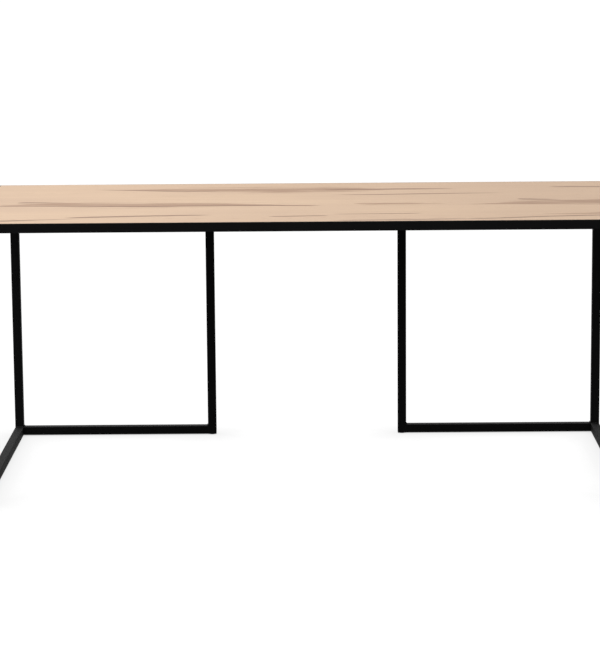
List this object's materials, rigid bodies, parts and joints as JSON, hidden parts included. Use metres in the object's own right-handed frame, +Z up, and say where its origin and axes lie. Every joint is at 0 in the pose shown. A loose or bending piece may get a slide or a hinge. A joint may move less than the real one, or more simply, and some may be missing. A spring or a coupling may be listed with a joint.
{
  "type": "office desk",
  "caption": "Fixed-height work desk: wood-decor board in a black folded-steel frame, on two welded square-tube leg units with screw-adjusted levelling feet.",
  "frame": {"origin": "middle of the footprint, on the floor, with all six feet screwed in", "axes": "+X to the sitter's right along the desk's width, +Y away from the sitter, +Z up"},
  "size_m": [1.8, 0.9, 0.75],
  "materials": {
    "wood_decor": "light oak decor, satin melamine",
    "powder_coat": "black powder coat, satin, fine texture",
    "socket_plastic": "black glass-filled nylon",
    "pad_plastic": "black polyethylene",
    "zinc_steel": "bright zinc plate",
    "black_steel": "black zinc plate"
  },
  "bodies": {
    "frame": {"desktop_board": "wood_decor", "top_rail_front": "powder_coat", "top_rail_rear": "powder_coat", "top_frame_welds": "powder_coat", "floor_bar_side_left": "powder_coat", "floor_bar_side_right": "powder_coat", "floor_bar_rear_left": "powder_coat", "floor_bar_rear_right": "powder_coat", "top_bar_side_left": "powder_coat", "top_bar_side_right": "powder_coat", "top_bar_rear_left": "powder_coat", "top_bar_rear_right": "powder_coat", "leg_welds_left": "powder_coat", "leg_welds_right": "powder_coat", "flush_welds_left": "powder_coat", "flush_welds_right": "powder_coat", "top_rail_left": "powder_coat", "top_rail_right": "powder_coat", "post_front_left": "powder_coat", "foot_socket_front_left": "socket_plastic", "post_front_right": "powder_coat", "foot_socket_front_right": "socket_plastic", "post_rear_left": "powder_coat", "foot_socket_rear_left": "socket_plastic", "post_rear_right": "powder_coat", "foot_socket_rear_right": "socket_plastic", "post_inner_left": "powder_coat", "foot_socket_inner_left": "socket_plastic", "post_inner_right": "powder_coat", "foot_socket_inner_right": "socket_plastic", "cross_brace_1": "powder_coat", "cross_brace_2": "powder_coat", "cross_brace_3": "powder_coat", "frame_bolts": "black_steel", "bolt_washers": "black_steel", "board_inserts": "zinc_steel", "brace_screws": "zinc_steel"},
    "foot_pad_front_left": {"foot_pad_front_left": "pad_plastic"},
    "foot_stud_front_left": {"foot_stud_front_left": "zinc_steel"},
    "foot_pad_front_right": {"foot_pad_front_right": "pad_plastic"},
    "foot_stud_front_right": {"foot_stud_front_right": "zinc_steel"},
    "foot_pad_rear_left": {"foot_pad_rear_left": "pad_plastic"},
    "foot_stud_rear_left": {"foot_stud_rear_left": "zinc_steel"},
    "foot_pad_rear_right": {"foot_pad_rear_right": "pad_plastic"},
    "foot_stud_rear_right": {"foot_stud_rear_right": "zinc_steel"},
    "foot_pad_inner_left": {"foot_pad_inner_left": "pad_plastic"},
    "foot_stud_inner_left": {"foot_stud_inner_left": "zinc_steel"},
    "foot_pad_inner_right": {"foot_pad_inner_right": "pad_plastic"},
    "foot_stud_inner_right": {"foot_stud_inner_right": "zinc_steel"}
  },
  "joints": [
    {"name": "front_left_pad_slide", "type": "slide", "parent": "frame", "child": "foot_pad_front_left", "axis": [0, 0, -1], "range_m": [0, 0.01]},
    {"name": "front_left_stud_turn", "type": "hinge", "parent": "foot_pad_front_left", "child": "foot_stud_front_left", "pos_m": [-0.8595, -0.4375, 0], "axis": [0, 0, -1], "range_deg": [0, 2880]},
    {"name": "front_right_pad_slide", "type": "slide", "parent": "frame", "child": "foot_pad_front_right", "axis": [0, 0, -1], "range_m": [0, 0.01]},
    {"name": "front_right_stud_turn", "type": "hinge", "parent": "foot_pad_front_right", "child": "foot_stud_front_right", "pos_m": [0.8595, -0.4375, 0], "axis": [0, 0, -1], "range_deg": [0, 2880]},
    {"name": "rear_left_pad_slide", "type": "slide", "parent": "frame", "child": "foot_pad_rear_left", "axis": [0, 0, -1], "range_m": [0, 0.01]},
    {"name": "rear_left_stud_turn", "type": "hinge", "parent": "foot_pad_rear_left", "child": "foot_stud_rear_left", "pos_m": [-0.8595, 0.4375, 0], "axis": [0, 0, -1], "range_deg": [0, 2880]},
    {"name": "rear_right_pad_slide", "type": "slide", "parent": "frame", "child": "foot_pad_rear_right", "axis": [0, 0, -1], "range_m": [0, 0.01]},
    {"name": "rear_right_stud_turn", "type": "hinge", "parent": "foot_pad_rear_right", "child": "foot_stud_rear_right", "pos_m": [0.8595, 0.4375, 0], "axis": [0, 0, -1], "range_deg": [0, 2880]},
    {"name": "inner_left_pad_slide", "type": "slide", "parent": "frame", "child": "foot_pad_inner_left", "axis": [0, 0, -1], "range_m": [0, 0.01]},
    {"name": "inner_left_stud_turn", "type": "hinge", "parent": "foot_pad_inner_left", "child": "foot_stud_inner_left", "pos_m": [-0.2835, 0.4375, 0], "axis": [0, 0, -1], "range_deg": [0, 2880]},
    {"name": "inner_right_pad_slide", "type": "slide", "parent": "frame", "child": "foot_pad_inner_right", "axis": [0, 0, -1], "range_m": [0, 0.01]},
    {"name": "inner_right_stud_turn", "type": "hinge", "parent": "foot_pad_inner_right", "child": "foot_stud_inner_right", "pos_m": [0.2835, 0.4375, 0], "axis": [0, 0, -1], "range_deg": [0, 2880]}
  ],
  "couplings": [
    {"joint": "front_left_stud_turn", "follows": "front_left_pad_slide", "rad_per_m": 5026.5},
    {"joint": "front_right_stud_turn", "follows": "front_right_pad_slide", "rad_per_m": 5026.5},
    {"joint": "rear_left_stud_turn", "follows": "rear_left_pad_slide", "rad_per_m": 5026.5},
    {"joint": "rear_right_stud_turn", "follows": "rear_right_pad_slide", "rad_per_m": 5026.5},
    {"joint": "inner_left_stud_turn", "follows": "inner_left_pad_slide", "rad_per_m": 5026.5},
    {"joint": "inner_right_stud_turn", "follows": "inner_right_pad_slide", "rad_per_m": 5026.5}
  ]
}
